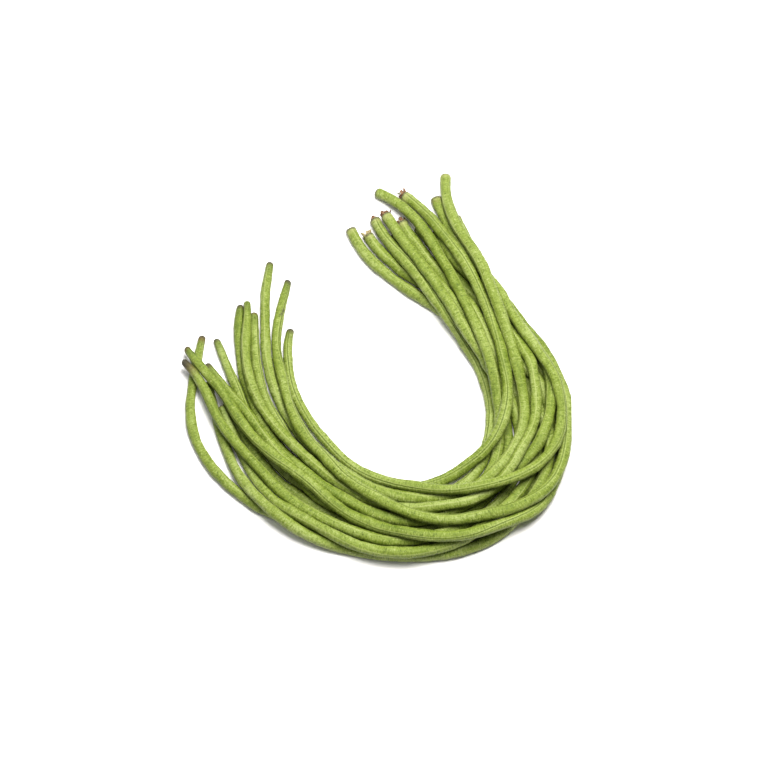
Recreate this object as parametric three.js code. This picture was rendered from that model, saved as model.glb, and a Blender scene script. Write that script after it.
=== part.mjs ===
// A loose bunch of yardlong beans lying on a flat surface, bent into a U.
// Units are millimetres and +Z is up. Every pod is one closed solid of its own.
import * as THREE from 'three';

// Driving dimensions of a pod
const podRadius = 4.45;         // half the thickness of a full pod
const tipRadius = 2.9;          // half the thickness where the beak rounds off
const slimRadius = 3.75;        // half the thickness of the slim stretch behind the beak
const slimLength = 40;          // from the end of the beak to that stretch
const fillLength = 170;         // from the end of the beak to full thickness
const stemRadius = 4.1;         // half the thickness of the neck behind the cap
const neckLength = 18;          // the stretch where a pod narrows to its neck
const beakEnd = 2.6;            // length of the beak's rounded end
const capRadius = 4.3;          // the blunt cap where the flower stood
const capLength = 6;            // length of that cap
const thinnest = 0.9;           // thickness of the slimmest pod against a full one
const swelling = 0.28;          // how far the seeds push the wall out
const swellingLength = 43;      // distance between two soft swellings
const unlike = 2.4;             // angle that tells one pod's thickness and swellings from the next

// Outlines of the two ends: half thickness against distance from that end, as shares of
// tipRadius and beakEnd, and of capRadius and capLength
const beakOutline = [[0, 0], [0.72, 0.2], [1.02, 1]];
const capOutline = [[0.95, 1], [1, 0.5], [0.84, 0.08], [0, 0]];
const endGap = 3;               // least distance from an end's outline to the next ring

// Driving dimensions of the pile
const sides = 8;                // facets round a pod, one of them turned down
const ringStep = 10.5;          // distance between two rings along a pod
const clearance = 0.42;         // air kept between two pods
const layerHeight = 9.4;        // rise from one layer of the pile to the next
const flatBand = 0.12;          // what comes this near to the surface lies flat on it

// How the pile settles
const settleRounds = 900;       // steps of the settling
const partRounds = 60;          // steps after it in which pods only push one another apart
const fall = 0.22;              // drop of a pod in the first step
const straighten = 0.5;         // how strongly a pod resists bending
const evening = 2;              // neighbours over which a route's own bend is evened out
const hold = 0.22;              // how strongly it keeps its place on the surface
const restFrom = 4;             // 1 lets go of it at once, a larger number later on
const searchEvery = 3;          // steps between two searches for touching stretches
const searchMargin = 4;         // how much further than touching they look

// Routes of the pods seen from above, from tip to stem: x, y and layer of the pile.
// Layer 0 lies on the surface and layer 1 on a pod below it; where two routes cross,
// the one in the higher layer passes over the other.
const routes = {
  pod_01: [
    [-66, 31, 0.6], [-68, 15, 0.3], [-68, -3, 0], [-61, -25, 0], [-47, -49, 0],
    [-27, -73, 0], [-5, -89, 0.3], [16, -99, 1.4], [39, -104, 2.4], [61, -105, 2.8],
    [83, -102, 3], [105, -94, 3], [123, -81, 3], [133, -63, 2.6], [136, -42, 2],
    [131, -18, 1.7], [119, 7, 1.5], [104, 28, 1.3], [88, 52, 1], [74, 78, 0.8],
    [63, 100, 0.8], [51, 123, 0.8], [45, 137, 0.8],
  ],
  pod_02: [
    [-67, 70, 0.5], [-72, 50, 0.6], [-76, 27, 0.7], [-76, 5, 0.8], [-71, -22, 1],
    [-61, -48, 1.4], [-44, -74, 1.6], [-21, -97, 2], [1, -111, 2], [24, -120, 2],
    [46, -125, 2], [68, -126, 2.1], [90, -121, 2.2], [110, -113, 2.2], [124, -100, 1.8],
    [135, -81, 1.2], [140, -61, 0.7], [139, -38, 0.3], [133, -13, 0], [122, 10, 0],
    [105, 32, 0], [87, 57, 0], [74, 80, 0], [63, 103, 0], [54, 119, 0],
  ],
  pod_03: [
    [-81, 84, 0.3], [-84, 68, 0.2], [-85, 45, 0.2], [-85, 20, 0.2], [-82, 0, 0.2],
    [-74, -28, 0.4], [-61, -55, 0.7], [-45, -76, 0.9], [-24, -94, 1], [-2, -104, 1],
    [24, -107, 1.1], [46, -108, 1.5], [65, -103, 1.8], [81, -92, 2], [95, -78, 2],
    [104, -63, 2], [108, -44, 1.8], [108, -20, 1.8], [102, 7, 2], [94, 31, 2],
    [85, 57, 2.1], [73, 84, 1.9], [62, 103, 1.7], [53, 123, 1.3], [51, 141, 1],
    [51, 155, 0.9],
  ],
  pod_04: [
    [-93, 44, 1], [-93, 24, 1], [-89, -5, 0.9], [-81, -29, 0.7], [-70, -50, 0.3],
    [-52, -72, 0], [-30, -91, 0], [-6, -98, 0], [16, -98, 0], [35, -95, 0.4],
    [51, -91, 1.2], [68, -81, 1.6], [82, -69, 1.8], [91, -52, 1.8], [96, -32, 1.6],
    [96, -8, 1.6], [89, 17, 1.7], [79, 47, 1.9], [69, 71, 1.9], [55, 92, 1.8],
    [41, 113, 1.6], [28, 131, 1.4], [19, 138, 1.3],
  ],
  pod_05: [
    [-99, 52, 1.6], [-100, 31, 1.6], [-100, 2, 1.6], [-92, -27, 1.6], [-77, -49, 1.6],
    [-58, -70, 1.6], [-35, -90, 1.5], [-13, -106, 1.3], [9, -113, 1.1], [30, -116, 1.1],
    [50, -117, 1.3], [71, -111, 1.5], [88, -99, 1.6], [103, -83, 1.7], [114, -66, 1.6],
    [119, -43, 1.4], [115, -16, 1], [106, 11, 0.8], [93, 36, 0.5], [76, 54, 0.3],
    [61, 73, 0.2], [44, 97, 0.1], [28, 112, 0],
  ],
  pod_06: [
    [-104, 50, 1], [-103, 32, 1], [-103, 7, 0.8], [-98, -20, 0.8], [-86, -48, 0.9],
    [-67, -75, 1], [-45, -97, 1], [-21, -114, 1], [3, -123, 1], [27, -124, 1],
    [50, -119, 1], [70, -111, 1], [86, -100, 1], [99, -87, 1.3], [112, -75, 1.8],
    [124, -59, 1.9], [130, -35, 1.5], [129, -15, 1.4], [119, 10, 1.1], [103, 35, 0.9],
    [84, 59, 0.6], [65, 75, 0.2], [51, 94, 0], [42, 107, 0],
  ],
  pod_07: [
    [-121, 23, 0.3], [-115, 3, 0.3], [-103, -21, 0.4], [-93, -49, 0.4], [-80, -73, 0.4],
    [-62, -91, 0.2], [-38, -105, 0], [-13, -112, 0], [13, -112, 0], [39, -107, 0],
    [60, -97, 0], [75, -82, 0], [83, -62, 0], [86, -39, 0], [84, -13, 0],
    [70, 14, 0.5], [55, 35, 0.9], [38, 58, 1.1], [19, 85, 1.1], [4, 106, 1.1],
    [-2, 119, 1.1],
  ],
  pod_08: [
    [-145, 13, 1.5], [-135, -1, 1.5], [-120, -19, 1.5], [-103, -45, 1.4], [-83, -70, 1.4],
    [-60, -90, 1.4], [-36, -109, 1.4], [-10, -126, 1.4], [16, -137, 1.4], [46, -142, 1.4],
    [75, -136, 1.4], [95, -126, 1.3], [111, -114, 1], [124, -97, 0.6], [132, -75, 0.2],
    [134, -52, 0], [132, -27, 0], [124, 0, 0], [107, 26, 0], [87, 50, 0],
    [68, 72, 0], [54, 92, 0],
  ],
  pod_09: [
    [-131, 2, 0.6], [-117, -15, 0.6], [-100, -39, 0.7], [-81, -64, 0.7], [-60, -89, 0.6],
    [-35, -109, 0.4], [-9, -119, 0.2], [16, -123, 0], [42, -117, 0], [62, -106, 0.1],
    [78, -92, 0.4], [90, -72, 0.6], [93, -49, 0.8], [90, -22, 0.9], [80, 7, 1.2],
    [68, 35, 1.8], [58, 63, 2], [46, 89, 2], [29, 114, 2], [13, 132, 1.9],
    [-2, 141, 1.7],
  ],
  pod_10: [
    [-148, 1, 0.6], [-140, -4, 0.6], [-131, -19, 0.7], [-120, -43, 0.8], [-102, -68, 0.9],
    [-79, -93, 0.9], [-55, -114, 1], [-30, -130, 1], [-2, -142, 0.9], [24, -144, 0.5],
    [47, -136, 0], [68, -123, 0], [88, -105, 0.2], [101, -85, 0.3], [105, -65, 0.2],
    [101, -38, 0], [91, -9, 0], [76, 15, 0.2], [62, 35, 0.8], [43, 61, 0.9],
    [23, 87, 0.7], [13, 107, 0.6], [6, 120, 0.6],
  ],
  pod_11: [
    [-113, -31, 0.1], [-105, -59, 0.1], [-95, -83, 0.4], [-76, -108, 0.8], [-51, -127, 0.9],
    [-21, -140, 0.8], [9, -147, 0.7], [35, -148, 0.4], [59, -142, 0], [81, -129, 0],
    [98, -112, 0.1], [114, -94, 0.3], [121, -69, 0.2], [116, -43, 0], [102, -11, 0],
    [82, 21, 0.2], [63, 47, 0.7], [44, 76, 1], [28, 96, 1.1], [18, 117, 1.1],
  ],
  pod_12: [
    [-128, -11, 0], [-122, -35, 0], [-113, -66, 0.3], [-96, -101, 0.9], [-73, -122, 0.9],
    [-42, -136, 0.5], [-13, -144, 0.2], [16, -147, 0], [46, -146, 0], [75, -139, 0],
    [97, -127, 0.1], [116, -106, 0.2], [127, -82, 0.3], [128, -54, 0.1], [119, -24, 0],
    [101, 5, 0], [76, 32, 0], [50, 54, 0], [23, 74, 0], [2, 92, 0.1],
    [-8, 106, 0.2],
  ],
  pod_13: [
    [-133, 25, 0.8], [-134, 11, 0.6], [-138, -8, 0], [-141, -29, 0], [-137, -56, 0],
    [-123, -82, 0], [-99, -104, 0], [-73, -118, 0], [-43, -131, 0], [-13, -140, 0],
    [16, -143, 0], [46, -142, 0], [75, -133, 0], [97, -118, 0], [117, -96, 0],
    [130, -70, 0], [130, -43, 0], [117, -16, 0], [93, 9, 0], [66, 34, 0],
    [38, 54, 0], [11, 72, 0.1], [-12, 93, 0.2], [-21, 111, 0.3],
  ],
  pod_14: [
    [-119, -31, 0], [-108, -49, 0], [-90, -73, 0], [-69, -93, 0], [-46, -110, 0],
    [-20, -123, 0], [17, -132, 0], [46, -126, 0], [74, -113, 0], [91, -98, 0],
    [95, -72, 0], [97, -47, 0], [91, -19, 0], [78, 13, 0], [61, 44, 0],
    [41, 74, 0], [23, 95, 0], [12, 108, 0],
  ],
};

// Half thickness of a pod at a distance from its tip.
function radiusAt(distance, { length, thickness, phase }) {
  const beak = Math.sin((Math.PI / 2) * Math.min(1, distance / slimLength));
  const filled = THREE.MathUtils.smoothstep(distance, slimLength, fillLength);
  const neck = THREE.MathUtils.smoothstep(length - distance, capLength, capLength + neckLength);
  const ripple = swelling * beak * Math.sin((2 * Math.PI * distance) / swellingLength + phase);
  const slim = THREE.MathUtils.lerp(tipRadius, slimRadius, beak);
  const body = THREE.MathUtils.lerp(slim, podRadius * thickness, filled) + ripple;
  return THREE.MathUtils.lerp(stemRadius, body, neck);
}

// How far a point of a chain stands out from the middle of its two neighbours.
const bendAt = (chain, i) => chain[i - 1].clone().add(chain[i + 1]).multiplyScalar(0.5).sub(chain[i]);

// The level bend that a pod has grown with at each of its points, evened out along it.
function grownBends(home) {
  const last = home.length - 1;
  return home.map((_, i) => {
    const sum = new THREE.Vector3();
    const from = Math.max(1, i - evening);
    const to = Math.min(last - 1, i + evening);
    for (let k = from; k <= to; k++) sum.add(bendAt(home, k));
    return sum.divideScalar(to - from + 1).setZ(0);
  });
}

// A pod as a chain of points about ringStep apart, along its route from tip to stem.
function makeChain([name, route], index) {
  const points = route.map(([x, y, layer]) => new THREE.Vector3(x, y, podRadius + layer * layerHeight));
  const curve = new THREE.CatmullRomCurve3(points, false, 'centripetal');
  const length = curve.getLength();
  const steps = Math.round(length / ringStep);
  const places = curve.getSpacedPoints(steps);
  const thickness = THREE.MathUtils.lerp(thinnest, 1, Math.abs(Math.sin(unlike * index)));
  const pod = { name, length, thickness, phase: unlike * index };
  const radii = places.map((_, i) => radiusAt((i / steps) * length, pod));
  const home = places.map((place) => place.clone());
  return { ...pod, places, radii, home, grown: grownBends(home) };
}

// Nearest points of two straight stretches p-q and r-s, as fractions along them.
function nearest(p, q, r, s) {
  const along = q.clone().sub(p);
  const other = s.clone().sub(r);
  const between = p.clone().sub(r);
  const a = along.dot(along);
  const b = along.dot(other);
  const c = along.dot(between);
  const e = other.dot(other);
  const f = other.dot(between);
  const spread = Math.max(a * e - b * b, 1e-9);
  let u = THREE.MathUtils.clamp((b * f - c * e) / spread, 0, 1);
  const free = (b * u + f) / e;
  const w = THREE.MathUtils.clamp(free, 0, 1);
  if (w !== free) u = THREE.MathUtils.clamp((b * w - c) / a, 0, 1);
  return [u, w];
}

// Pairs of stretches, of two different pods, that lie close together.
function closePairs(chains) {
  const limit = 2 * podRadius + ringStep + searchMargin;
  const pairs = [];
  chains.forEach((one, m) => chains.slice(m + 1).forEach((two) => {
    for (let i = 0; i + 1 < one.places.length; i++) {
      for (let j = 0; j + 1 < two.places.length; j++) {
        if (one.places[i].distanceTo(two.places[j]) < limit) pairs.push([one, i, two, j]);
      }
    }
  }));
  return pairs;
}

// Pushes two stretches apart until their walls keep the clearance.
function separate([one, i, two, j]) {
  const [p, q] = [one.places[i], one.places[i + 1]];
  const [r, s] = [two.places[j], two.places[j + 1]];
  const [u, w] = nearest(p, q, r, s);
  const apart = p.clone().lerp(q, u).sub(r.clone().lerp(s, w));
  const wanted = THREE.MathUtils.lerp(one.radii[i], one.radii[i + 1], u)
    + THREE.MathUtils.lerp(two.radii[j], two.radii[j + 1], w) + clearance;
  const distance = apart.length();
  if (distance >= wanted) return;
  apart.multiplyScalar((wanted - distance) / distance / 2);
  p.addScaledVector(apart, 1 - u);
  q.addScaledVector(apart, u);
  r.addScaledVector(apart, w - 1);
  s.addScaledVector(apart, -w);
}

// Springs a chain back towards the bend that it has grown with.
function springBack({ places, grown }) {
  for (let i = 1; i + 1 < places.length; i++) {
    const bent = bendAt(places, i).sub(grown[i]).multiplyScalar(straighten / 2);
    places[i].add(bent);
    places[i - 1].addScaledVector(bent, -0.5);
    places[i + 1].addScaledVector(bent, -0.5);
  }
}

// Height of a pod's middle when one of its facets lies on the surface.
const lyingHeight = (radius) => radius * Math.cos(Math.PI / sides);

// Lets the whole pile fall, bend and push itself apart until it rests.
function settle(chains) {
  let pairs = [];
  for (let round = 0; round < settleRounds + partRounds; round++) {
    const slack = THREE.MathUtils.clamp(restFrom * (1 - round / settleRounds), 0, 1);
    if (round % searchEvery === 0) pairs = closePairs(chains);
    for (const chain of chains) {
      chain.places.forEach((place, i) => {
        place.x += (chain.home[i].x - place.x) * hold * slack;
        place.y += (chain.home[i].y - place.y) * hold * slack;
        place.z -= fall * slack;
      });
      if (round < settleRounds) springBack(chain);
    }
    pairs.forEach(separate);
    for (const { places, radii } of chains) {
      places.forEach((place, i) => {
        place.z = Math.max(place.z, lyingHeight(radii[i]));
      });
    }
  }
}

// Outline of a straight pod, half thickness against distance from the tip.
function outline(pod) {
  const { length, places } = pod;
  const step = length / (places.length - 1);
  const tip = beakOutline.map(([half, at]) => [half * tipRadius, at * beakEnd]);
  const cap = capOutline.map(([half, left]) => [half * capRadius, length - left * capLength]);
  const body = places.map((_, i) => [radiusAt(i * step, pod), i * step])
    .filter(([, at]) => at > beakEnd + endGap && at < length - capLength - endGap);
  return [...tip, ...body, ...cap].map(([half, at]) => new THREE.Vector2(half, at));
}

// Bends a straight turned pod along its chain, keeping one facet turned down.
function bend(geometry, { places, length }) {
  const curve = new THREE.CatmullRomCurve3(places, false, 'centripetal');
  const up = new THREE.Vector3(0, 0, 1);
  const position = geometry.attributes.position;
  const corner = new THREE.Vector3();
  for (let i = 0; i < position.count; i++) {
    const [across, at, rise] = corner.fromBufferAttribute(position, i).toArray();
    const tangent = curve.getTangent(at / length);
    const side = tangent.clone().cross(up).normalize();
    const top = side.clone().cross(tangent);
    corner.copy(curve.getPoint(at / length)).addScaledVector(side, across).addScaledVector(top, rise);
    position.setXYZ(i, corner.x, corner.y, corner.z < flatBand ? 0 : corner.z);
  }
  return geometry;
}

// One pod as a named mesh.
function makePod(chain) {
  const turned = new THREE.LatheGeometry(outline(chain), sides, Math.PI / sides);
  const skin = new THREE.MeshStandardMaterial({ color: 0x9dbb4a, roughness: 0.5, metalness: 0 });
  const pod = new THREE.Mesh(bend(turned, chain), skin);
  pod.name = chain.name;
  return pod;
}

const chains = Object.entries(routes).map(makeChain);
settle(chains);

const bunch = new THREE.Group();
bunch.add(...chains.map(makePod));

// The origin is the middle of the bunch, on the surface that it lies on.
const middle = new THREE.Box3().setFromObject(bunch, true).getCenter(new THREE.Vector3());
bunch.position.set(-middle.x, -middle.y, 0);

export default bunch;
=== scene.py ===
import math

import bpy
import numpy as np
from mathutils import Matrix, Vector


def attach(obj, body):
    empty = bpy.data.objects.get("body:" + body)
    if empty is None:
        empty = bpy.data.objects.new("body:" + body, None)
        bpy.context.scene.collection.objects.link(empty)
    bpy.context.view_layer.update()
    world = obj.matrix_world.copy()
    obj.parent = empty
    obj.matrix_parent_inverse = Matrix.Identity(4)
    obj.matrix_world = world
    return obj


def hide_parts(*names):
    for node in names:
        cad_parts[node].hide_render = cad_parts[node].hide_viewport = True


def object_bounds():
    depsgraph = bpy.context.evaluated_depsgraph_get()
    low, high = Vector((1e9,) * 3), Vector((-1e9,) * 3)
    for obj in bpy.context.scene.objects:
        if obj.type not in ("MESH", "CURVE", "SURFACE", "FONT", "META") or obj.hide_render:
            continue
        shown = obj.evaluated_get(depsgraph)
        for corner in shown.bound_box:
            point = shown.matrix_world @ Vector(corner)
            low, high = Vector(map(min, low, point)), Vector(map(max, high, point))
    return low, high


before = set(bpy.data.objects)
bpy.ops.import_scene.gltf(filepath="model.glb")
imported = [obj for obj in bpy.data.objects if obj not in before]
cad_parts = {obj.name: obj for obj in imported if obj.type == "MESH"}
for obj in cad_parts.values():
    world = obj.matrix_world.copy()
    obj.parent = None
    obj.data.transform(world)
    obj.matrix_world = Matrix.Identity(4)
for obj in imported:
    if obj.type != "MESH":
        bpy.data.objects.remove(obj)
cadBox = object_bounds()

mm = 0.001
halfTurn = math.pi
fullHalf = 4.4                     # mm, half the thickness of a full pod, for the grain of its skin


# A display colour from 0 to 255 as the linear colour that a shader takes.
def colour(red, green, blue):
    shown = np.array([red, green, blue]) / 255
    linear = np.where(shown <= 0.04045, shown / 12.92, ((shown + 0.055) / 1.055) ** 2.4)
    return (*linear.tolist(), 1)


# The camera looks along +Y and steeply down, from far off, so that the pods keep their thickness.
cameraSettings = {
    "elevation": 70,               # degrees above the surface
    "lens": 300,                   # mm
    "sensor": 36,                  # mm
    "nearest": 0.05,               # m, what is nearer isn't drawn
    "farthest": 40,                # m
    "target": (10.8, -19.2, 4.9),  # mm, the middle of the picture
    "widthSeen": 585,              # mm across the picture at the target
}

lights = {
    # name: place and side in mm, watts, colour
    "window": {"place": (230, 290, 1400), "size": 850, "power": 54, "tint": (1.0, 0.99, 0.97)},
    "fill": {"place": (-500, -100, 1400), "size": 1100, "power": 5, "tint": (0.98, 0.99, 1.0)},
}

surroundings = {
    "skyStrength": 0.13,
    "skyTint": (1.0, 1.0, 1.0, 1),
    "floorSize": 8000,             # mm
    "floorTint": (0.90, 0.885, 0.88, 1),
    "floorRoughness": 0.7,
    "floorSpecular": 0.1,
}


def addCamera(s):
    data = bpy.data.cameras.new("camera")
    data.lens = s["lens"]
    data.sensor_width = s["sensor"]
    data.clip_start = s["nearest"]
    data.clip_end = s["farthest"]
    camera = bpy.data.objects.new("camera", data)
    bpy.context.scene.collection.objects.link(camera)
    elevation = math.radians(s["elevation"])
    distance = s["widthSeen"] * mm * data.lens / data.sensor_width
    back = Vector((0, -math.cos(elevation), math.sin(elevation)))
    camera.location = Vector(s["target"]) * mm + back * distance
    camera.rotation_euler = (halfTurn / 2 - elevation, 0, 0)
    bpy.context.scene.camera = camera


def addLight(name, s):
    data = bpy.data.lights.new(name, "AREA")
    data.energy = s["power"]
    data.size = s["size"] * mm
    data.color = s["tint"]
    light = bpy.data.objects.new(name, data)
    bpy.context.scene.collection.objects.link(light)
    light.location = Vector(s["place"]) * mm
    light.rotation_euler = (-light.location).to_track_quat("-Z", "Y").to_euler()


def addSurroundings(s):
    world = bpy.data.worlds.new("studio")
    bpy.context.scene.world = world
    world.use_nodes = True
    sky = world.node_tree.nodes["Background"]
    sky.inputs["Color"].default_value = s["skyTint"]
    sky.inputs["Strength"].default_value = s["skyStrength"]
    half = s["floorSize"] * mm / 2
    mesh = bpy.data.meshes.new("floor")
    corners = [(-half, -half, 0), (half, -half, 0), (half, half, 0), (-half, half, 0)]
    mesh.from_pydata(corners, [], [(0, 1, 2, 3)])
    floor = bpy.data.objects.new("floor", mesh)
    bpy.context.scene.collection.objects.link(floor)
    material = bpy.data.materials.new("floor")
    material.use_nodes = True
    shader = material.node_tree.nodes["Principled BSDF"]
    shader.inputs["Base Color"].default_value = s["floorTint"]
    shader.inputs["Roughness"].default_value = s["floorRoughness"]
    shader.inputs["Specular IOR Level"].default_value = s["floorSpecular"]
    mesh.materials.append(material)


addCamera(cameraSettings)
for lightName, values in lights.items():
    addLight(lightName, values)
addSurroundings(surroundings)
bpy.context.scene.view_settings.view_transform = "Standard"
print("camera, lights and floor are set")


solids = {
    "sides": 8,            # of a pod's solid, which is also how many edges meet at its two ends
    "weld": 0.01,          # mm within which two corners are one
    "endRings": 2,         # rings at each end that round it off and don't tell the thickness
}


# The rings of a pod's solid, tip first: the middle and the half thickness of each, in metres.
# Its corners are welded, and a ring is what lies equally many edges away from an end.
def readRings(node):
    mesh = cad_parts[node].data
    corners = np.empty(len(mesh.vertices) * 3)
    mesh.vertices.foreach_get("co", corners)
    corners = corners.reshape(-1, 3)
    _, first, weld = np.unique(np.round(corners / (solids["weld"] * mm)), axis=0,
                               return_index=True, return_inverse=True)
    corners = corners[first]
    edges = np.empty(len(mesh.edges) * 2, int)
    mesh.edges.foreach_get("vertices", edges)
    edges = weld.reshape(-1)[edges].reshape(-1, 2)
    linked = np.zeros((len(corners), len(corners)), bool)
    linked[edges[:, 0], edges[:, 1]] = True
    linked |= linked.T
    np.fill_diagonal(linked, False)
    start = np.flatnonzero(linked.sum(1) == solids["sides"])[0]
    ring = np.full(len(corners), -1)
    edge = np.arange(len(corners)) == start
    level = 0
    while edge.any():
        ring[edge] = level
        edge = linked[edge].any(0) & (ring < 0)
        level += 1
    middles = np.array([corners[ring == k].mean(0) for k in range(level)])
    halves = np.array([np.linalg.norm(corners[ring == k] - middles[k], axis=1).mean() for k in range(level)])
    if halves[1] > halves[-2]:
        middles, halves = middles[::-1], halves[::-1]
    return middles, halves


# A natural cubic spline through values at knots. It solves the second derivatives once and
# returns a function that gives the value and the slope at any places.
def spline(knots, values):
    step = np.diff(knots)
    count = len(knots)
    inner = np.arange(1, count - 1)
    system = np.eye(count)
    system[inner, inner - 1] = step[:-1]
    system[inner, inner] = 2 * (step[:-1] + step[1:])
    system[inner, inner + 1] = step[1:]
    wanted = np.zeros_like(values)
    wanted[1:-1] = 6 * np.diff(np.diff(values, axis=0) / step[:, None], axis=0)
    second = np.linalg.solve(system, wanted)

    def at(places):
        k = np.clip(np.searchsorted(knots, places, side="right") - 1, 0, count - 2)
        past = (places - knots[k])[:, None]
        left = (knots[k + 1] - places)[:, None]
        gap = step[k][:, None]
        a, b = second[k], second[k + 1]
        p, q = values[k], values[k + 1]
        value = (a * left ** 3 + b * past ** 3) / (6 * gap)
        value = value + (p / gap - a * gap / 6) * left + (q / gap - b * gap / 6) * past
        slope = (b * past ** 2 - a * left ** 2) / (2 * gap) + (q - p) / gap - (b - a) * gap / 6
        return value, slope

    return at


# Smooth noise between -1 and 1 on a pod's wall: seeded values on a coarse grid, with `cells`
# of them round the pod and one every `reach` mm along it, blended by a smooth step.
def wallNoise(draw, along, turn, reach, cells):
    rows = int(along.max() / reach) + 3
    table = draw.uniform(-1, 1, (rows, cells))
    u = along / reach
    v = (turn / (2 * halfTurn)) % 1 * cells
    i, j = np.floor(u).astype(int), np.floor(v).astype(int)
    a, b = u - i, v - j
    a, b = a * a * (3 - 2 * a), b * b * (3 - 2 * b)
    j, k = j % cells, (j + 1) % cells
    near = table[i, j] * (1 - b) + table[i, k] * b
    far = table[i + 1, j] * (1 - b) + table[i + 1, k] * b
    return near * (1 - a) + far * a


# Noise of the same kind that changes only along a pod.
def lineNoise(draw, along, reach):
    return wallNoise(draw, along, along * 0, reach, 3)


# 1 at distance 0, falling off smoothly over `width`.
def bell(distance, width):
    return np.exp(-(distance / width) ** 2)


# A closed skin over sections carried along a path. Row i holds the points of section i, and the
# first and last rows shrink to one point each. Faces are turned to point outwards.
def closeSkin(rows):
    count, around = rows.shape[:2]
    body = rows[1:-1]
    points = np.concatenate([body.reshape(-1, 3), rows[:1].mean(1), rows[-1:].mean(1)])
    i, j = np.meshgrid(np.arange(count - 3), np.arange(around), indexing="ij")
    k = (j + 1) % around
    quads = np.stack([i * around + j, i * around + k, (i + 1) * around + k, (i + 1) * around + j], -1)
    j = np.arange(around)
    k = (j + 1) % around
    first, last = len(points) - 2, len(points) - 1
    end = (count - 3) * around
    startFan = np.stack([np.full(around, first), k, j], -1)
    endFan = np.stack([np.full(around, last), end + j, end + k], -1)
    quads, fans = quads.reshape(-1, 4), np.concatenate([startFan, endFan])
    a, b, c = (points[quads[:, n]] - points.mean(0) for n in (0, 1, 2))
    if np.einsum("ij,ij->", a, np.cross(b, c)) < 0:
        quads, fans = quads[:, ::-1], fans[:, ::-1]
    return points, quads, fans


# Joins closed skins into one mesh object. Each skin brings its values for every point and
# the number of its material.
def makePiece(name, skins, materials):
    points = np.concatenate([skin["points"] for skin in skins])
    starts = np.cumsum([0] + [len(skin["points"]) for skin in skins])
    quads = np.concatenate([skin["quads"] + start for skin, start in zip(skins, starts)])
    fans = np.concatenate([skin["fans"] + start for skin, start in zip(skins, starts)])
    slots = np.concatenate([np.full(len(skin["quads"]), skin["slot"]) for skin in skins]
                           + [np.full(len(skin["fans"]), skin["slot"]) for skin in skins])
    mesh = bpy.data.meshes.new(name)
    mesh.vertices.add(len(points))
    mesh.vertices.foreach_set("co", points.ravel())
    mesh.loops.add(quads.size + fans.size)
    mesh.loops.foreach_set("vertex_index", np.concatenate([quads.ravel(), fans.ravel()]))
    mesh.polygons.add(len(quads) + len(fans))
    loopStarts = np.concatenate([np.arange(len(quads)) * 4, quads.size + np.arange(len(fans)) * 3])
    mesh.polygons.foreach_set("loop_start", loopStarts)
    mesh.polygons.foreach_set("material_index", slots)
    mesh.polygons.foreach_set("use_smooth", np.ones(len(slots), bool))
    mesh.update(calc_edges=True)
    for key in skins[0]["values"]:
        values = np.concatenate([skin["values"][key] for skin in skins])
        attribute = mesh.attributes.new(key, "FLOAT_VECTOR", "POINT")
        attribute.data.foreach_set("vector", values.ravel())
    for material in materials:
        mesh.materials.append(material)
    piece = bpy.data.objects.new(name, mesh)
    bpy.context.scene.collection.objects.link(piece)
    return piece


podShape = {
    "around": 48,          # points round a pod
    "rowStep": 1.0,        # mm between two rows along it
    "fullness": 0.98,      # of the solid's half thickness
    "tipRound": 2.4,       # mm over which the tip rounds off
    "beakLength": 16,      # mm over which the tip leans away from the seam
    "beakLean": 1.1,       # mm
    "beakFlat": 0.16,      # how much thinner the beak is across the seam
    "dimple": 0.9,         # mm, depth of the scar inside the broken edge
    "grooveDepth": 0.24,   # mm
    "grooveWidth": 0.32,   # mm
    "lipHeight": 0.14,     # mm, the two lips beside the groove
    "lipAt": 0.95,         # mm from the groove
    "lipWidth": 0.55,      # mm
    "backHeight": 0.14,    # mm, the ridge on the other side
    "backWidth": 0.6,      # mm
    "seedPitch": 13.0,     # mm from seed to seed
    "seedHeight": 0.30,    # mm
    "lumps": 0.26,         # mm, slow unevenness of the wall
    "creases": 0.15,       # mm, short creases across the pod
    "sway": 0.42,          # mm that a pod's middle wanders off its line
    "swayEvery": 26,       # mm between two turns of that sway
    "calmEnd": 30,         # mm from each end within which the sway dies away
    "tipRows": 8,          # rows over the rounded tip
    "rimRows": 6,          # rows over the rounded edge of the stem end
    "dishRows": (0.85, 0.6, 0.3, 0),        # radii of the rows inside the dished scar, in shares
    "scarRows": (0.1, 0.5, 1, 1, 1, 1, 1),  # how far the last rows belong to the scar
    "evenedRings": 11,     # rows over which the half thickness is evened out
    "evenedFrom": 6,       # mm from the tip where the evening starts
    "reliefAtTip": 14,     # mm over which the relief grows from the tip
    "reliefAtStem": 6,     # mm over which it fades to the stem end
    "gather": 0.3,         # how much closer the points stand at the seam and the back
    "wander": 0.4,         # turn of the seam to and fro, in radians
    "wanderEvery": 45,     # mm
    "pitchSpread": 0.12,   # how much the seeds' distance differs from pod to pod
    "pitchShift": 0.25,    # and how far a seed sits off its place, in distances
    "pitchEvery": 30,      # mm
    "seedSharp": 1.5,      # a larger number makes the swellings narrower
    "seedSpread": 0.4,     # how much the swellings differ in height
    "seedEvery": 26,       # mm
    "openMiddle": 0.45,    # how open the groove is on the whole
    "openSpread": 0.75,    # and how much that changes along a pod
    "openMost": 1.1,
    "openEvery": 22,       # mm
    "lumpEvery": 11,       # mm between two lumps, and how many go round a pod
    "lumpsRound": 5,
    "creaseEvery": 1.9,    # mm between two creases, and how many go round a pod
    "creasesRound": 6,
}

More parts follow.
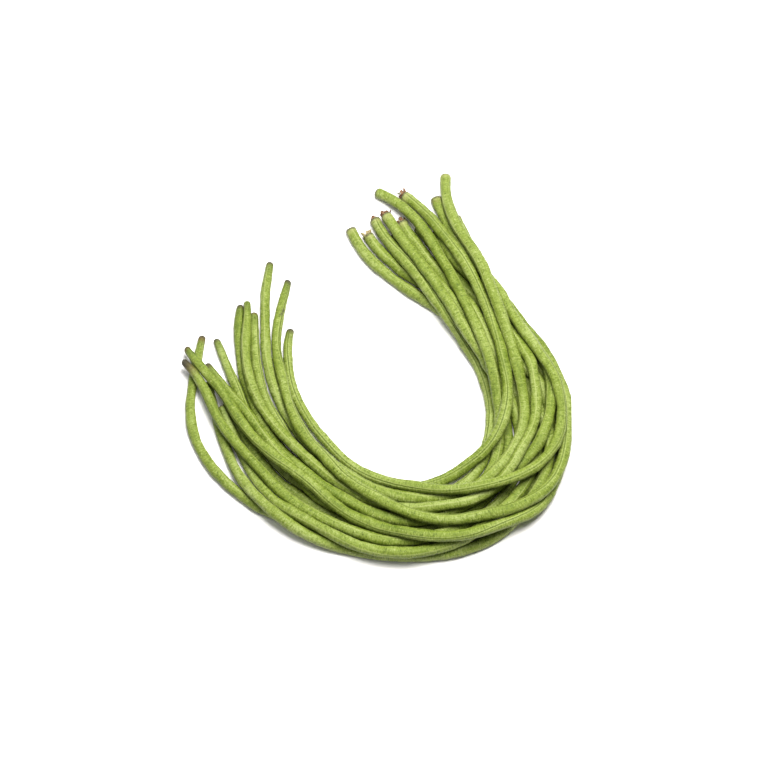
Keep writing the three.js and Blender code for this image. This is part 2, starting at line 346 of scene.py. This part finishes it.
# What tells one pod from another. The seam lies so many degrees from straight up, and twists so
# many from end to end. `tone` runs from darker at -1 to lighter at 1. A tip is dark over about
# `tipDark` mm, from grey at `tipBrown` 0 to brown at 1. The stem end is rounded off over `round` mm
# and pale over `pale` mm. It has brown blotches, a scar from cream at 0 to brown at 1, rags of the
# dead flower and perhaps a stalk. A spot lies some mm from the tip, at an angle from straight up,
# with its size in mm.
plainEnd = {"round": 1.4, "pale": 5, "blotch": 0.2, "scar": 0.5, "rags": 0, "ragTint": "cream", "stalk": 0}
pods = {
    "pod_01": {"seam": 35, "twist": 70, "tone": 0.1, "tipDark": 2.4, "tipBrown": 0.15,
               "stem": {**plainEnd, "blotch": 0.85, "scar": 0.8}},
    "pod_02": {"seam": -25, "twist": 60, "tone": -0.1, "tipDark": 2.4, "tipBrown": 0.1,
               "spots": [(26.5, -46, 1.6), (29.5, -26, 1.3)], "stem": plainEnd},
    "pod_03": {"seam": 150, "twist": -90, "tone": 0.25, "tipDark": 1.8, "tipBrown": 0.2,
               "stem": {**plainEnd, "round": 3.0, "pale": 7, "blotch": 0.25, "scar": 0.35}},
    "pod_04": {"seam": -12, "twist": 50, "tone": 0.0, "tipDark": 1.4, "tipBrown": 0.9,
               "stem": {**plainEnd, "pale": 9, "rags": 8, "ragLength": 5.5, "ragTint": "brown", "stalk": 5}},
    "pod_05": {"seam": 190, "twist": -60, "tone": 0.3, "tipDark": 0.7, "tipBrown": 0.3, "stem": plainEnd},
    "pod_06": {"seam": 120, "twist": 80, "tone": -0.2, "tipDark": 2.2, "tipBrown": 0.2, "stem": plainEnd},
    "pod_07": {"seam": -15, "twist": 55, "tone": 0.15, "tipDark": 1.9, "tipBrown": 0.1,
               "stem": {**plainEnd, "pale": 7, "blotch": 0.3, "scar": 0.6, "rags": 6, "ragLength": 3.6,
                        "ragTint": "brown"}},
    "pod_08": {"seam": 25, "twist": -70, "tone": -0.15, "tipDark": 2.2, "tipBrown": 0.6, "stem": plainEnd},
    "pod_09": {"seam": 200, "twist": 110, "tone": -0.3, "tipDark": 3.0, "tipBrown": 0.3,
               "stem": {**plainEnd, "round": 3.2, "pale": 4, "blotch": 0.0, "scar": 0.3}},
    "pod_10": {"seam": 170, "twist": 140, "tone": -0.1, "tipDark": 8.0, "tipBrown": 0.6,
               "stem": {**plainEnd, "pale": 10, "rags": 12, "ragLength": 5.0, "ragTint": "brown"}},
    "pod_11": {"seam": 215, "twist": -60, "tone": 0.05, "tipDark": 0.9, "tipBrown": 0.3,
               "stem": {**plainEnd, "pale": 8, "blotch": 0.3, "rags": 8, "ragLength": 4.6,
                        "ragTint": "brown"}},
    "pod_12": {"seam": 140, "twist": 100, "tone": 0.2, "tipDark": 0.9, "tipBrown": 0.3,
               "stem": {**plainEnd, "pale": 7, "rags": 8, "ragLength": 4.8}},
    "pod_13": {"seam": 160, "twist": 60, "tone": -0.05, "tipDark": 3.0, "tipBrown": 0.9,
               "stem": {**plainEnd, "pale": 7, "scar": 0.3}},
    "pod_14": {"seam": 90, "twist": 80, "tone": -0.3, "tipDark": 0.2, "tipBrown": 0.3, "stem": plainEnd},
}


# The path of a pod: its length, the spline through its middle, and its half thickness at the rings.
# The rings that lie close together at its ends are passed over, so that the path stays smooth.
def podPath(node):
    middles, halves = readRings(node)
    middles, halves = middles / mm, halves / mm
    reach = np.concatenate([[0], np.cumsum(np.linalg.norm(np.diff(middles, axis=0), axis=1))])
    ends = solids["endRings"]
    keep = np.r_[0, ends + 1:len(reach) - ends - 2, len(reach) - 1]
    middleAt = spline(reach[keep], middles[keep])
    full = slice(ends, len(reach) - ends)
    return reach[-1], middleAt, reach[full], halves[full]


contact = {
    "step": 0.5,           # mm between two places where the pods are compared
    "reach": 14,           # mm between two middles within which pods can touch
    "gap": 0.12,           # mm kept between two pods
    "ragGap": 0.4,         # mm kept between a rag and another pod
    "leastFacing": 0.05,   # a wall that faces the other pod less than this is left alone
}


# The middle line of every pod, with its half thickness, at close steps.
def middleLine(node):
    length, middleAt, ringAt, ringHalf = podPath(node)
    along = np.arange(0, length, contact["step"])
    return middleAt(along)[0], np.interp(along, ringAt, ringHalf)


lines = {node: middleLine(node) for node in pods}


# Where two pods lie close, each keeps to its own side of the plane between them. The plane stands
# across the line that joins their middles, (D^2 + a^2 - b^2) / 2D from the first one, where D is
# their distance and a and b are their half thicknesses. `ways` are the directions from `centre`.
def keepApart(node, middle, half, centre, ways, radius, s):
    for other, (points, halves) in lines.items():
        if other == node:
            continue
        apart = np.linalg.norm(middle[:, None] - points, axis=2)
        nearest = apart.argmin(1)
        distance = apart.min(1)
        toOther = (points[nearest] - middle) / distance[:, None]
        plane = (distance ** 2 + half ** 2 - halves[nearest] ** 2) / (2 * distance)
        room = plane - np.einsum("ij,ij->i", toOther, centre - middle) - s["gap"] / 2
        facing = np.einsum("ik,ijk->ij", toOther, ways)
        least = s["leastFacing"]
        limit = np.where(facing > least, room[:, None] / np.maximum(facing, least), np.inf)
        radius = np.where(distance[:, None] < s["reach"], np.minimum(radius, limit), radius)
    return radius


# True if no point lies in or against another pod.
def clearOfOthers(node, points):
    others = [values for other, values in lines.items() if other != node]
    return all((np.linalg.norm(points[:, None] - line, axis=2) > halves + contact["ragGap"]).all()
               for line, halves in others)


# The middle of a pod at places along it, the way ahead, and the two directions of its section.
def podFrame(middleAt, along):
    middle, slope = middleAt(along)
    ahead = slope / np.linalg.norm(slope, axis=1, keepdims=True)
    side = np.cross(ahead, (0, 0, 1))
    side /= np.linalg.norm(side, axis=1, keepdims=True)
    return middle, ahead, side, np.cross(side, ahead)


# The wall of one pod. `turn` is the angle from the seam, drawn closer together near the seam and
# the back ridge. The half thickness is the solid's own, plus the groove with its two lips, the
# back ridge, a swelling over each seed, and seeded lumps and creases. The beak leans away from
# the seam, and the broken stem end is rounded off and dished.
def podSkin(node, s, own, draw):
    length, middleAt, ringAt, ringHalf = podPath(node)
    rim = own["stem"]["round"]
    rise = np.linspace(0, halfTurn / 2, s["tipRows"])
    tipAlong, tipScale = s["tipRound"] * (1 - np.cos(rise)), np.sin(rise)
    bodyAlong = np.arange(s["tipRound"] + s["rowStep"], length - rim - s["rowStep"] / 2, s["rowStep"])
    fall = np.linspace(0, halfTurn / 2, s["rimRows"])
    inward = np.array(s["dishRows"])
    along = np.concatenate([tipAlong, bodyAlong, length - rim * (1 - np.sin(fall)),
                            length - s["dimple"] * (1 - inward ** 2)])
    half = np.interp(along, ringAt, ringHalf)
    window = np.ones(s["evenedRings"]) / s["evenedRings"]
    evened = np.convolve(np.pad(half, s["evenedRings"] // 2, mode="edge"), window, mode="valid")
    half = s["fullness"] * np.where(along > s["evenedFrom"], evened, half)
    rimStart = -len(fall) - len(inward)
    edge = rim / half[rimStart]
    scale = np.concatenate([tipScale, np.ones(len(bodyAlong)), 1 - edge * (1 - np.cos(fall)),
                            inward * (1 - edge)])
    fade = np.clip(along / s["reliefAtTip"], 0, 1) * np.clip((length - along) / s["reliefAtStem"], 0, 1)

    step = np.arange(s["around"]) / s["around"]
    turn = 2 * halfTurn * step - s["gather"] * np.sin(4 * halfTurn * step)
    turn, place = np.meshgrid(turn, along)
    wide = half[:, None]
    fromSeam = wide * np.abs((turn + halfTurn) % (2 * halfTurn) - halfTurn)
    fromBack = wide * halfTurn - fromSeam
    wander = s["wander"] * lineNoise(draw, place, s["wanderEvery"])
    pitch = s["seedPitch"] * (1 + s["pitchSpread"] * draw.uniform(-1, 1))
    phase = place / pitch + s["pitchShift"] * lineNoise(draw, place, s["pitchEvery"])
    plump = (0.5 + 0.5 * np.cos(2 * halfTurn * phase)) ** s["seedSharp"] * np.sin(turn) ** 2
    plump = plump * (1 - s["seedSpread"] + s["seedSpread"] * lineNoise(draw, place, s["seedEvery"]))
    opening = s["openMiddle"] + s["openSpread"] * lineNoise(draw, place, s["openEvery"])
    opening = np.clip(opening, 0, s["openMost"])
    lift = -s["grooveDepth"] * opening * bell(fromSeam, s["grooveWidth"])
    lift = lift + s["lipHeight"] * opening * bell(fromSeam - s["lipAt"], s["lipWidth"])
    lift = lift + s["backHeight"] * bell(fromBack, s["backWidth"])
    lift = lift + s["seedHeight"] * plump
    lift = lift + s["lumps"] * wallNoise(draw, place, turn, s["lumpEvery"], s["lumpsRound"])
    lift = lift + s["creases"] * wallNoise(draw, place, turn, s["creaseEvery"], s["creasesRound"])
    lean = np.clip(1 - place / s["beakLength"], 0, 1) ** 2
    radius = (wide + lift * fade[:, None]) * scale[:, None]
    radius = radius * (1 - s["beakFlat"] * lean * np.cos(turn) ** 2)

    angle = turn + np.radians(own["seam"] + own["twist"] * (place / length - 0.5)) + wander
    unswayed, ahead, side, top = podFrame(middleAt, along)
    calm = np.clip(along / s["calmEnd"], 0, 1) * np.clip((length - along) / s["calmEnd"], 0, 1)
    middle = unswayed + side * (s["sway"] * calm * lineNoise(draw, along, s["swayEvery"]))[:, None]
    seamAt = angle[:, 0] - turn[:, 0]
    seamWay = side * np.sin(seamAt)[:, None] + top * np.cos(seamAt)[:, None]
    middle = middle - seamWay * (s["beakLean"] * lean[:, 0])[:, None]
    ways = side[:, None] * np.sin(angle)[..., None] + top[:, None] * np.cos(angle)[..., None]
    radius = keepApart(node, unswayed, half / s["fullness"], middle, ways, radius, contact)
    rows = middle[:, None] + radius[..., None] * ways
    rows = np.clip(rows, np.array(cadBox[0]) / mm, np.array(cadBox[1]) / mm)
    points, quads, fans = closeSkin(rows)

    spot = np.zeros_like(place)
    for where, at, size in own.get("spots", []):
        off = (angle - math.radians(at) + halfTurn) % (2 * halfTurn) - halfTurn
        spot = np.maximum(spot, bell(np.hypot(place - where, off * wide), size))
    face = np.zeros_like(place)
    face[-len(s["scarRows"]):] = np.array(s["scarRows"])[:, None]
    values = {"grain": [fullHalf * np.cos(turn), fullHalf * np.sin(turn), place],
              "seams": [fromSeam, fromBack, plump],
              "ends": [place, length - place, face],
              "marks": [spot, spot * 0, spot * 0]}

    def perPoint(parts):
        grid = np.stack(parts, -1)
        return np.concatenate([grid[1:-1].reshape(-1, 3), grid[:1, 0], grid[-1:, 0]])

    values = {key: perPoint(parts) for key, parts in values.items()}
    skin = {"points": points * mm, "quads": quads, "fans": fans, "slot": 0, "values": values}
    neck = rimStart - 2
    end = {"middle": middle[neck], "ahead": ahead[neck], "side": side[neck], "top": top[neck],
           "half": half[neck], "left": length - along[neck]}
    return skin, end


# Lengths are in mm. A blade narrows by `taper` and thins by half to its end.
ragShape = {"width": 4.0, "thick": 0.5, "taper": 0.35, "ragged": 0.4, "cup": 0.2}
stalkShape = {"width": 1.5, "thick": 1.5, "taper": 0.15, "ragged": 0.05, "cup": 0.0}
bladeSections = 10
bladeAround = 10
farFromSeam = 9                    # mm, so that a blade has no groove
farFromEnds = 50                   # mm, so that it has no dark tip

ragPlaces = {
    "root": 1.6,           # mm that a rag starts inside the stem end
    "inset": 0.75,         # mm from the wall
    "unevenTurn": 0.3,     # of the distance between two rags
    "shortest": 0.6,       # of ragLength
    "longest": 1.15,
    "leastCurl": -0.9,     # radians, inwards where it is below 0
    "mostCurl": 1.1,
    "tries": (1, 0.7, 0.45),  # shares of its length, tried in turn until it has room
    "stalkRoot": 1.5,      # mm that the stalk starts inside
    "stalkOff": 1.2,       # mm from the middle
    "stalkWay": (-0.6, 0.8),  # to where, in shares of the side and the top
    "stalkCurl": 0.9,
}


# A thin closed blade: a flat oval section carried along an arc that curls away from `ahead`
# towards `out`. It narrows raggedly to its end, and its position serves as its grain.
def blade(start, ahead, out, size, curl, draw, slot):
    u = np.linspace(0, 1, bladeSections)
    bent = curl * u[:, None]
    way = ahead * np.cos(bent) + out * np.sin(bent)
    middle = start + np.cumsum(way, axis=0) * size["length"] / len(u)
    across = np.cross(ahead, out)
    normal = out * np.cos(bent) - ahead * np.sin(bent)
    ragged = 1 + size["ragged"] * draw.uniform(-1, 1, len(u))
    half = size["width"] / 2 * (1 - size["taper"] * u ** 2) * ragged
    thick = size["thick"] / 2 * (1 - 0.5 * u)
    circle = 2 * halfTurn * np.arange(bladeAround) / bladeAround
    rows = (middle[:, None] + across * (half[:, None] * np.cos(circle))[..., None]
            + normal[:, None] * (thick[:, None] * np.sin(circle)
                                 - size["cup"] * half[:, None] * np.cos(circle) ** 2)[..., None])
    rows = np.clip(rows, np.array(cadBox[0]) / mm, np.array(cadBox[1]) / mm)
    points, quads, fans = closeSkin(rows)
    blank = np.zeros_like(points)
    values = {"grain": points, "seams": blank + farFromSeam, "ends": blank + farFromEnds, "marks": blank}
    return {"points": points * mm, "quads": quads, "fans": fans, "slot": slot, "values": values}


# Rags of the dead flower stand round the broken end, and a bit of stalk may stand beside them.
# One that would reach into another pod is made shorter and bent inwards, or is left out.
def stemRags(node, end, stem, s, draw):
    skins = []
    for k in range(stem["rags"]):
        angle = 2 * halfTurn * (k + draw.uniform(-s["unevenTurn"], s["unevenTurn"])) / stem["rags"]
        out = end["side"] * math.sin(angle) + end["top"] * math.cos(angle)
        start = end["middle"] + end["ahead"] * (end["left"] - s["root"]) + out * (end["half"] - s["inset"])
        length = stem["ragLength"] * draw.uniform(s["shortest"], s["longest"])
        curl = draw.uniform(s["leastCurl"], s["mostCurl"])
        for share, bent in zip(s["tries"], (curl, -abs(curl), s["leastCurl"])):
            rag = blade(start, end["ahead"], out, {**ragShape, "length": length * share}, bent, draw, 1)
            if clearOfOthers(node, rag["points"] / mm):
                skins.append(rag)
                break
    if stem["stalk"]:
        out = end["side"] * s["stalkWay"][0] + end["top"] * s["stalkWay"][1]
        start = end["middle"] + end["ahead"] * (end["left"] - s["stalkRoot"]) + out * s["stalkOff"]
        shape = {**stalkShape, "length": stem["stalk"] + s["stalkRoot"]}
        stalk = blade(start, end["ahead"], out, shape, s["stalkCurl"], draw, 2)
        if clearOfOthers(node, stalk["points"] / mm):
            skins.append(stalk)
    return skins


# Short ways to add nodes. A value is a socket to link or a constant to set.
def feed(tree, socket, value):
    if isinstance(value, bpy.types.NodeSocket):
        tree.links.new(value, socket)
    else:
        socket.default_value = value


def addMath(tree, operation, a, b, c=0.0):
    node = tree.nodes.new("ShaderNodeMath")
    node.operation = operation
    for socket, value in zip(node.inputs, (a, b, c)):
        feed(tree, socket, value)
    return node.outputs[0]


def addScaled(tree, value, factor, offset=0.0):
    return addMath(tree, "MULTIPLY_ADD", value, factor, offset)


# Adds noise to a value, so much for its whole range from 0 to 1, without moving its middle.
def addCentred(tree, value, noise, amount):
    return addMath(tree, "ADD", value, addScaled(tree, noise, amount, -0.5 * amount))


def addMix(tree, amount, a, b):
    node = tree.nodes.new("ShaderNodeMix")
    node.data_type = "RGBA"
    feed(tree, node.inputs["Factor"], amount)
    feed(tree, node.inputs[6], a)
    feed(tree, node.inputs[7], b)
    return node.outputs[2]


# 0 below `low` and 1 above `high`, with a smooth step between; swapped limits turn it round.
def addStep(tree, value, low, high):
    node = tree.nodes.new("ShaderNodeMapRange")
    node.interpolation_type = "SMOOTHSTEP"
    node.inputs["From Min"].default_value = min(low, high)
    node.inputs["From Max"].default_value = max(low, high)
    node.inputs["To Min"].default_value = 0 if low < high else 1
    node.inputs["To Max"].default_value = 1 if low < high else 0
    feed(tree, node.inputs["Value"], value)
    return node.outputs["Result"]


# Noise from 0 to 1 over a place in mm, stretched along each axis: `stretch` is waves per mm.
def addNoise(tree, place, stretch, shift, detail, roughness):
    moved = tree.nodes.new("ShaderNodeVectorMath")
    moved.operation = "MULTIPLY_ADD"
    feed(tree, moved.inputs[0], place)
    moved.inputs[1].default_value = stretch
    if isinstance(shift, bpy.types.NodeSocket):
        tree.links.new(shift, moved.inputs[2])
    else:
        moved.inputs[2].default_value = (shift, shift, shift)
    noise = tree.nodes.new("ShaderNodeTexNoise")
    tree.links.new(moved.outputs[0], noise.inputs["Vector"])
    noise.inputs["Scale"].default_value = 1.0
    noise.inputs["Detail"].default_value = detail
    noise.inputs["Roughness"].default_value = roughness
    return noise.outputs["Fac"]


# Values that the mesh brings for each point, as a vector and as its three parts.
def addAttribute(tree, name):
    node = tree.nodes.new("ShaderNodeAttribute")
    node.attribute_name = name
    parts = tree.nodes.new("ShaderNodeSeparateXYZ")
    tree.links.new(node.outputs["Vector"], parts.inputs[0])
    return node.outputs["Vector"], parts.outputs


skinColours = {
    "light": colour(140, 153, 85),
    "middle": colour(114, 130, 44),
    "deep": colour(78, 97, 14),
    # the pale green of the lips and the back ridge, and also of the painted highlight on the ridges of the
    # creases
    "pale": colour(160, 168, 104),
    # the dark green of the seam groove, the flecks and the beak, and also of the painted shade in the crease
    # hollows
    "groove": colour(54, 70, 8),
    "ink": colour(52, 48, 36),
    "brown": colour(98, 66, 38),
    "straw": colour(160, 162, 104),
    "cream": colour(178, 172, 126),
}


# Waves per mm, twice across the pod and once along it, then detail and roughness.
skinNoises = {
    "cloud": ((0.10, 0.10, 0.022), 3, 0.55),
    "streak": ((1.5, 1.5, 0.06), 3, 0.6),
    "crease": ((0.24, 0.24, 0.9), 4, 0.7),
    "pore": ((0.75, 0.75, 1.25), 3, 0.6),
}

# The shade between the three greens: where it lies at first, and how much each thing moves it.
skinShades = {
    "base": 0.5, "tone": 0.3, "cloud": 1.3, "streak": 1.0, "crease": 1.3, "pore": 1.2, "plump": 0.16,
}

# How strongly each mark covers the green, from 0 to 1.
skinMarks = {
    # the crease hollows take painted shade in dark green, and the highest creases and grain a painted
    # highlight in pale green
    "paintedCreaseShade": 0.5, "fleck": 0.75, "paintedHighlight": 0.8, "lip": 0.35, "back": 0.35, "dip": 0.55, "leastDip": 0.3,
    "paling": 0.55, "rim": 0.9, "beak": 0.4, "tip": 0.7, "tipEnd": 0.9, "spot": 0.9,
}

# Where each mark begins and where it is full: noise from 0 to 1, mm from the seam, the back or an
# end, or shares of a pod's own Tip Dark and Stem Pale.
skinLimits = {
    "middle": (0.0, 0.55), "light": (0.45, 1.05),
    "paintedCreaseShade": (0.47, 0.36), "paintedCreaseShadeCloud": (0.30, 0.55), "fleck": (0.42, 0.30),
    "paintedHighlight": (0.54, 0.68), "paintedHighlightPore": (0.45, 0.62),
    "worn": (0.35, 0.6), "lipNear": (0.45, 0.9), "lipFar": (1.5, 1.0), "back": (0.7, 0.2), "dip": (0.5, 0.1),
    "paling": (1.0, 0.1), "patch": (0.50, 0.62), "patchReach": (9, 2),
    "rim": (3.0, 1.1), "rimPore": (0.32, 0.52), "broken": (0.38, 0.60),
    "beak": (16, 2), "tip": (2.6, 0.8), "tipEnd": (1.4, 0.3),
}

# How far noise moves the edge of the pale and the dark end, in mm, and what makes up gloss and relief.
skinEdges = {"stem": 8, "tip": 3}
skinGloss = {"roughness": 0.42, "crease": 0.3, "scar": 0.25}
skinRelief = {"crease": 1.7, "streak": 0.3, "pore": 0.55}

# Lowest, highest and usual value of what each pod sets for itself.
skinInputs = {
    "Shift": (-1000, 1000, 0), "Tone": (-1, 1, 0), "Tip Dark": (0, 20, 1.5), "Tip Brown": (0, 1, 0.3),
    "Stem Pale": (0, 30, 6), "Blotch": (0, 1, 0.2), "Scar Brown": (0, 1, 0.5),
}


# Skin of a yardlong bean: cloudy greens, fine streaks along the pod and creases across it, with
# painted shade in the hollows of the creases and a painted highlight on their ridges, a dark groove
# between pale lips, and ends that dry out. Everything is measured in mm on the pod.
def beanSkinGroup(c):
    group = bpy.data.node_groups.new("beanSkin", "ShaderNodeTree")
    for name, (low, high, value) in skinInputs.items():
        socket = group.interface.new_socket(name, in_out="INPUT", socket_type="NodeSocketFloat")
        socket.min_value, socket.max_value, socket.default_value = low, high, value
    group.interface.new_socket("Color", in_out="OUTPUT", socket_type="NodeSocketColor")
    group.interface.new_socket("Roughness", in_out="OUTPUT", socket_type="NodeSocketFloat")
    group.interface.new_socket("Height", in_out="OUTPUT", socket_type="NodeSocketFloat")
    given = group.nodes.new("NodeGroupInput").outputs
    result = group.nodes.new("NodeGroupOutput").inputs
    grain, _ = addAttribute(group, "grain")
    _, (fromSeam, fromBack, plump) = addAttribute(group, "seams")
    _, (fromTip, fromStem, scar) = addAttribute(group, "ends")
    _, (spot, _, _) = addAttribute(group, "marks")
    noises = {name: addNoise(group, grain, waves, given["Shift"], detail, roughness)
              for name, (waves, detail, roughness) in skinNoises.items()}
    cloud, streak, crease, pore = noises.values()

    def step(value, name):
        return addStep(group, value, *skinLimits[name])

    def both(a, b):
        return addMath(group, "MULTIPLY", a, b)

    def cover(tint, mask, name, over):
        return addMix(group, addScaled(group, mask, skinMarks[name]), tint, over)

    shade = addScaled(group, given["Tone"], skinShades["tone"], skinShades["base"])
    for name, noise in noises.items():
        shade = addCentred(group, shade, noise, skinShades[name])
    shade = addMath(group, "MULTIPLY_ADD", plump, skinShades["plump"], shade)
    tint = addMix(group, step(shade, "middle"), c["deep"], c["middle"])
    tint = addMix(group, step(shade, "light"), tint, c["light"])

    # painted shade: dark green where the creases of the relief are lowest
    tint = cover(tint, both(step(crease, "paintedCreaseShade"), step(cloud, "paintedCreaseShadeCloud")), "paintedCreaseShade", c["groove"])
    tint = cover(tint, step(pore, "fleck"), "fleck", c["groove"])
    # painted highlight: pale green where the creases and the grain of the relief stand highest
    tint = cover(tint, both(step(crease, "paintedHighlight"), step(pore, "paintedHighlightPore")), "paintedHighlight", c["pale"])

    tint = cover(tint, both(step(fromSeam, "lipNear"), step(fromSeam, "lipFar")), "lip", c["pale"])
    tint = cover(tint, step(fromBack, "back"), "back", c["pale"])
    worn = addScaled(group, step(cloud, "worn"), skinMarks["dip"], skinMarks["leastDip"])
    tint = addMix(group, both(step(fromSeam, "dip"), worn), tint, c["groove"])

    edge = addCentred(group, fromStem, cloud, skinEdges["stem"])
    paling = step(addMath(group, "DIVIDE", edge, given["Stem Pale"]), "paling")
    tint = cover(tint, paling, "paling", c["straw"])
    patch = both(step(pore, "patch"), step(edge, "patchReach"))
    tint = addMix(group, both(patch, given["Blotch"]), tint, c["brown"])
    tint = cover(tint, both(step(fromStem, "rim"), step(pore, "rimPore")), "rim", c["ink"])
    broken = both(step(pore, "broken"), given["Scar Brown"])
    tint = addMix(group, scar, tint, addMix(group, broken, c["cream"], c["brown"]))

    dark = addMix(group, given["Tip Brown"], c["ink"], c["brown"])
    dry = addMath(group, "DIVIDE", addCentred(group, fromTip, pore, skinEdges["tip"]), given["Tip Dark"])
    tint = cover(tint, step(fromTip, "beak"), "beak", c["groove"])
    tint = cover(tint, step(dry, "tip"), "tip", dark)
    tint = cover(tint, step(dry, "tipEnd"), "tipEnd", c["ink"])
    tint = cover(tint, spot, "spot", c["ink"])
    group.links.new(tint, result["Color"])

    rough = addScaled(group, crease, skinGloss["crease"], skinGloss["roughness"])
    group.links.new(addMath(group, "MULTIPLY_ADD", scar, skinGloss["scar"], rough), result["Roughness"])
    height = addScaled(group, crease, skinRelief["crease"])
    height = addMath(group, "MULTIPLY_ADD", streak, skinRelief["streak"], height)
    height = addMath(group, "MULTIPLY_ADD", pore, skinRelief["pore"], height)
    group.links.new(height, result["Height"])
    return group


beanSkin = beanSkinGroup(skinColours)


# How strong the relief is and how deep in mm, then the gloss. The skin's roughness comes from
# its group.
skinFinish = {"bump": 0.8, "depth": 0.7, "specular": 0.32}
dryFinish = {"bump": 0.6, "depth": 0.2, "specular": 0.2, "roughness": 0.8}


# A material whose colour and relief come from a group, with the values that it sets for itself.
def makeMaterial(name, group, chosen, s):
    material = bpy.data.materials.new(name)
    material.use_nodes = True
    tree = material.node_tree
    shader = tree.nodes["Principled BSDF"]
    cover = tree.nodes.new("ShaderNodeGroup")
    cover.node_tree = group
    for key, value in chosen.items():
        cover.inputs[key].default_value = value
    bump = tree.nodes.new("ShaderNodeBump")
    bump.inputs["Strength"].default_value = s["bump"]
    bump.inputs["Distance"].default_value = s["depth"] * mm
    tree.links.new(cover.outputs["Color"], shader.inputs["Base Color"])
    tree.links.new(cover.outputs["Height"], bump.inputs["Height"])
    tree.links.new(bump.outputs["Normal"], shader.inputs["Normal"])
    if "roughness" in s:
        shader.inputs["Roughness"].default_value = s["roughness"]
    else:
        tree.links.new(cover.outputs["Roughness"], shader.inputs["Roughness"])
    shader.inputs["Specular IOR Level"].default_value = s["specular"]
    return material


def skinMaterial(name, own, shift):
    stem = own["stem"]
    chosen = {"Shift": shift, "Tone": own["tone"], "Tip Dark": own["tipDark"], "Tip Brown": own["tipBrown"],
              "Stem Pale": stem["pale"], "Blotch": stem["blotch"], "Scar Brown": stem["scar"]}
    return makeMaterial(name, beanSkin, chosen, skinFinish)


# Waves per mm along each axis, shift, detail and roughness, then how patches and veins mix.
dryNoises = {
    "patch": ((0.55, 0.55, 0.55), 0.0, 3, 0.6),
    "vein": ((3.0, 1.2, 3.0), 5.0, 2, 0.5),
    "veined": 0.5,
    "limits": (0.40, 0.60),
}


# Dead petals and stalk: patches of two colours with fine veins.
def dryGroup():
    group = bpy.data.node_groups.new("dryTissue", "ShaderNodeTree")
    for name in ("Light", "Dark"):
        group.interface.new_socket(name, in_out="INPUT", socket_type="NodeSocketColor")
    group.interface.new_socket("Color", in_out="OUTPUT", socket_type="NodeSocketColor")
    group.interface.new_socket("Height", in_out="OUTPUT", socket_type="NodeSocketFloat")
    given = group.nodes.new("NodeGroupInput").outputs
    result = group.nodes.new("NodeGroupOutput").inputs
    grain, _ = addAttribute(group, "grain")
    patch = addNoise(group, grain, *dryNoises["patch"])
    vein = addNoise(group, grain, *dryNoises["vein"])
    mixed = addStep(group, addCentred(group, patch, vein, dryNoises["veined"]), *dryNoises["limits"])
    group.links.new(addMix(group, mixed, given["Dark"], given["Light"]), result["Color"])
    group.links.new(vein, result["Height"])
    return group


dryTissue = dryGroup()


def dryMaterial(name, light, dark):
    return makeMaterial(name, dryTissue, {"Light": light, "Dark": dark}, dryFinish)


ragMaterials = {
    "brown": dryMaterial("rag_brown", colour(128, 98, 70), colour(66, 38, 28)),
    "cream": dryMaterial("rag_cream", colour(168, 158, 116), colour(100, 78, 50)),
}
greyStalk = dryMaterial("stalk", colour(150, 150, 124), colour(98, 96, 68))

firstSeed = 300
skinShift = 37.0                   # apart in the noise, so that no two pods look alike

for number, (node, own) in enumerate(pods.items()):
    draw = np.random.default_rng(firstSeed + number)
    skin, end = podSkin(node, podShape, own, draw)
    skins = [skin, *stemRags(node, end, own["stem"], ragPlaces, draw)]
    rag = ragMaterials[own["stem"]["ragTint"]]
    materials = [skinMaterial("skin_" + node[-2:], own, skinShift * number), rag, greyStalk]
    bean = makePiece("bean_" + node[-2:], skins, materials[:1 + max(part["slot"] for part in skins)])
    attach(bean, "root")
    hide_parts(node)
print("pods are grown")
